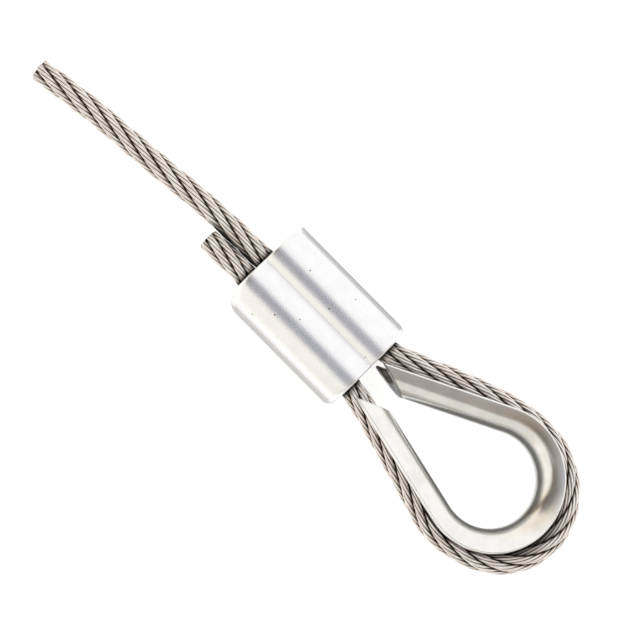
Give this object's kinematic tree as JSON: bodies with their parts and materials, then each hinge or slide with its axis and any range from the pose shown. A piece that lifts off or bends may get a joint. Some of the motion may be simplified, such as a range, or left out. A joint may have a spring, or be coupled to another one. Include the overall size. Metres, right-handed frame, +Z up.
{
  "type": "wire rope sling",
  "caption": "Stranded steel wire rope turned back into a small eye round a loose teardrop thimble and closed by a pressed two-lobed aluminium ferrule, with a cut standing end.",
  "frame": {"origin": "middle of the inner bearing face at the crown of the thimble, where a pin or shackle in the eye presses", "axes": "+X from the eye through the ferrule along the rope, the longest way; +Y to the side of the rope's short tail; +Z up, square to the flat of the eye, as the sling lies on a table"},
  "size_m": [0.1371, 0.0334, 0.0133],
  "materials": {
    "galvanised_wire": "satin drawn wire",
    "pressed_aluminium": "bright pressed",
    "stainless_sheet": "polished sheet"
  },
  "bodies": {
    "terminal": {"ferrule": "pressed_aluminium", "core_strand_eye": "galvanised_wire", "strand_1_eye": "galvanised_wire", "strand_2_eye": "galvanised_wire", "strand_3_eye": "galvanised_wire", "strand_4_eye": "galvanised_wire", "strand_5_eye": "galvanised_wire", "strand_6_eye": "galvanised_wire"},
    "standing_rope": {"core_strand_standing": "galvanised_wire", "strand_1_standing": "galvanised_wire", "strand_2_standing": "galvanised_wire", "strand_3_standing": "galvanised_wire", "strand_4_standing": "galvanised_wire", "strand_5_standing": "galvanised_wire", "strand_6_standing": "galvanised_wire"},
    "thimble": {"thimble": "stainless_sheet"}
  },
  "joints": [
    {"name": "standing_rope_flex", "type": "hinge", "parent": "terminal", "child": "standing_rope", "pos_m": [0.08251, 0.0029, 0.00163], "axis": [0, 0, 1], "range_deg": [-25, 25], "stiffness_Nm_per_rad": 0.3},
    {"name": "thimble_seating", "type": "slide", "parent": "terminal", "child": "thimble", "axis": [-0.9903, -0.1305, -0.0479], "range_m": [0, 0.0028]}
  ]
}
